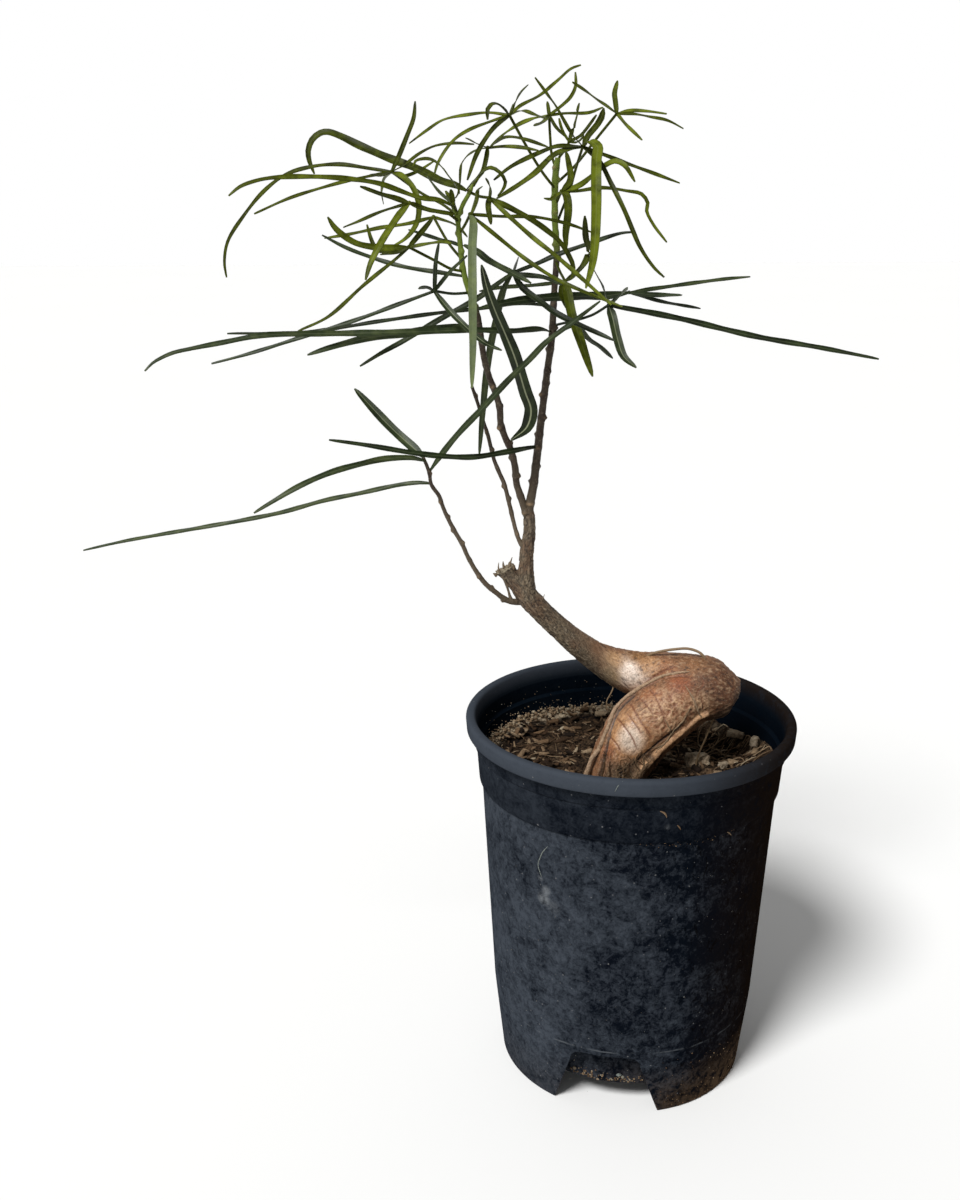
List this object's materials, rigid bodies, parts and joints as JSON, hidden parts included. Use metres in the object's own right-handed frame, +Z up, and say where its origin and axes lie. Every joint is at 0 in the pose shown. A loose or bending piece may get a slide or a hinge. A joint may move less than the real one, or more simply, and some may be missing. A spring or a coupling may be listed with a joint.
{
  "type": "potted bottle tree",
  "caption": "Caudex plant with a folded swollen base, thin upright stems and fans of narrow leaves, growing in bark mix in a round plastic nursery pot.",
  "frame": {"origin": "on the ground plane, under the middle of the whole object's box; the pot's axis stands 80.5 mm towards +X", "axes": "+Z up, -Y towards the picture's viewer, +X to the viewer's right"},
  "size_m": [0.4002, 0.17, 0.5123],
  "materials": {
    "pot_plastic": "moulded blue-black plastic, dusty and scuffed, brown with dirt at the foot",
    "bark_mix": "dry shredded bark and fibre, dusty on top",
    "plant_bark": "smooth reddish-brown skin with flaky creases, grey-brown and flaky on the trunk, dark green on the young stems",
    "loose_bark": "rough light-brown bark, dry and dusty",
    "pale_stone": "matt pale grit with dust",
    "mature_leaf": "dark green, softly glossy, with a pale midrib",
    "young_leaf": "bright olive green, softly glossy, grey-green below"
  },
  "bodies": {
    "root": {"pot": "pot_plastic", "soil": "bark_mix", "wood": "plant_bark", "bark_block": "loose_bark", "bark_flake": "loose_bark", "pale_stone": "pale_stone", "wall_chip": "pale_stone", "leaf_low_up": "mature_leaf", "leaf_low_front": "mature_leaf", "leaf_low_long": "mature_leaf", "leaf_low_cross": "mature_leaf", "leaf_right_low": "mature_leaf", "leaf_right_sweep": "mature_leaf", "leaf_middle_droop": "mature_leaf", "leaf_right_back": "mature_leaf", "leaf_right_mid": "mature_leaf", "fan_east": "mature_leaf", "fan_reach": "mature_leaf", "fan_under": "mature_leaf", "fan_drop": "young_leaf", "fan_heart": "mature_leaf", "leaf_middle_dark": "mature_leaf", "leaf_middle_broad": "mature_leaf", "fan_low_west": "mature_leaf", "leaf_middle_west": "mature_leaf", "leaf_middle_back": "mature_leaf", "fan_west": "young_leaf", "fan_back_west": "young_leaf", "fan_crown": "young_leaf", "fan_northwest": "young_leaf", "leaf_north_hook": "young_leaf", "leaf_north_long": "young_leaf", "leaf_north_arch": "young_leaf", "leaf_north_curl": "young_leaf", "shoot_west": "young_leaf", "fan_far_west": "young_leaf", "fan_front": "young_leaf", "fan_top_west": "young_leaf", "fan_top": "young_leaf", "fan_top_back": "young_leaf", "shoot_tip": "young_leaf", "fan_northeast": "young_leaf", "fan_east_top": "young_leaf", "fan_east_mid": "young_leaf"}
  },
  "joints": []
}
